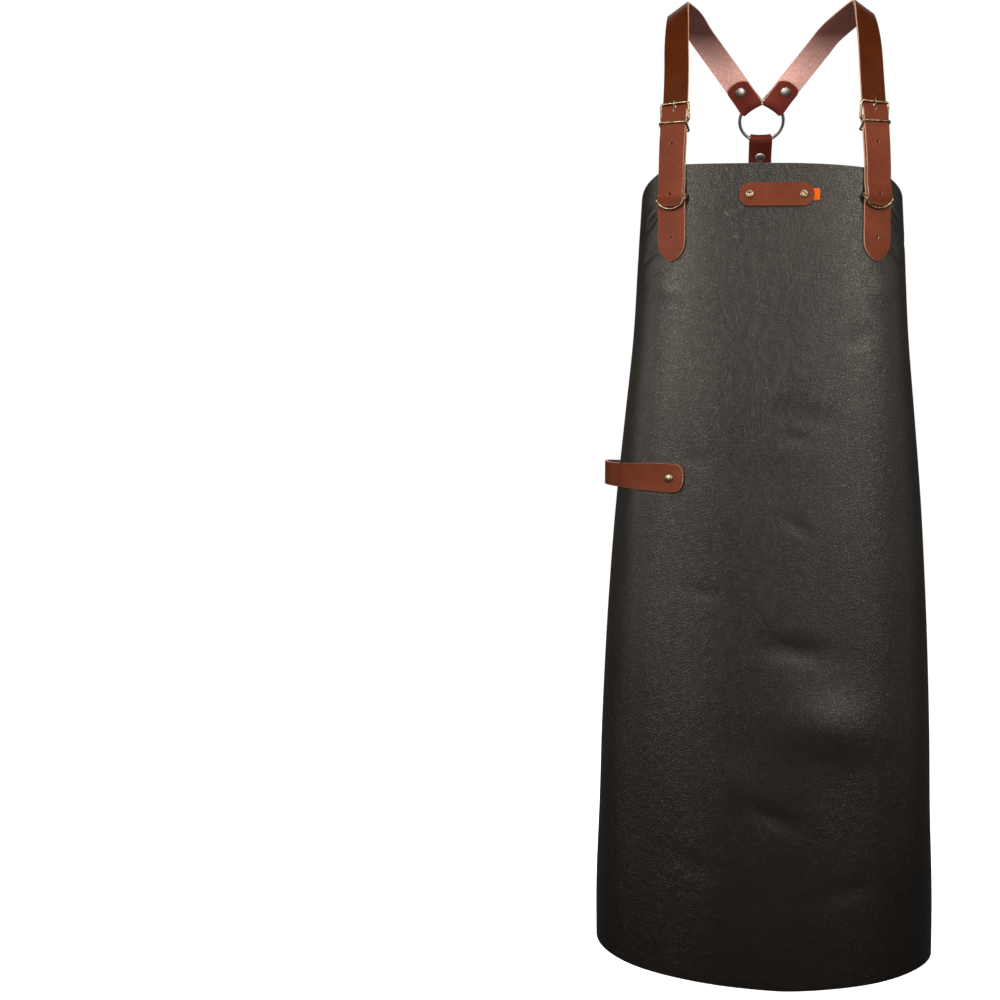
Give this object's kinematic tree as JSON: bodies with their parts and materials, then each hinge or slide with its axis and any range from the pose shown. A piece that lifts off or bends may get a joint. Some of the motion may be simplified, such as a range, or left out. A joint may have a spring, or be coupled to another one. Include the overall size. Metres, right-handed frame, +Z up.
{
  "type": "faux leather apron",
  "caption": "Long leather work apron: dark wrapped panel, buckled shoulder straps crossing to a round ring at the back, side waist strap and a bare label patch.",
  "frame": {"origin": "midway between the undersides of the two shoulder straps, where the apron hangs on the shoulders", "axes": "+Z up, the panel's front faces -Y, +X to the right as seen from the front"},
  "size_m": [0.4184, 0.2764, 1.2176],
  "materials": {
    "panel_leather": "soft semi-gloss grained dark brown leather",
    "strap_leather": "satin cognac leather with pale cut edges",
    "antique_brass": "antique brass",
    "nickel": "aged nickel",
    "ribbon": "woven orange ribbon"
  },
  "bodies": {
    "root": {"anchor_post_left": "antique_brass", "anchor_post_right": "antique_brass", "anchor_strap_left": "strap_leather", "anchor_strap_right": "strap_leather", "back_ring": "nickel", "back_rivet": "antique_brass", "back_strap": "strap_leather", "buckle_frame_left": "antique_brass", "buckle_frame_right": "antique_brass", "buckle_prong_left": "antique_brass", "buckle_prong_right": "antique_brass", "d_ring_left": "antique_brass", "d_ring_right": "antique_brass", "fold_post_left": "antique_brass", "fold_post_right": "antique_brass", "keeper_left": "antique_brass", "keeper_right": "antique_brass", "label": "strap_leather", "label_rivet_left": "antique_brass", "label_rivet_right": "antique_brass", "panel": "panel_leather", "ribbon_tab": "ribbon", "ring_rivet_left": "nickel", "ring_rivet_lower": "nickel", "ring_rivet_right": "nickel", "shoulder_strap_left": "strap_leather", "shoulder_strap_right": "strap_leather", "waist_rivet_left": "antique_brass", "waist_rivet_right": "antique_brass", "waist_strap": "strap_leather"}
  },
  "joints": []
}
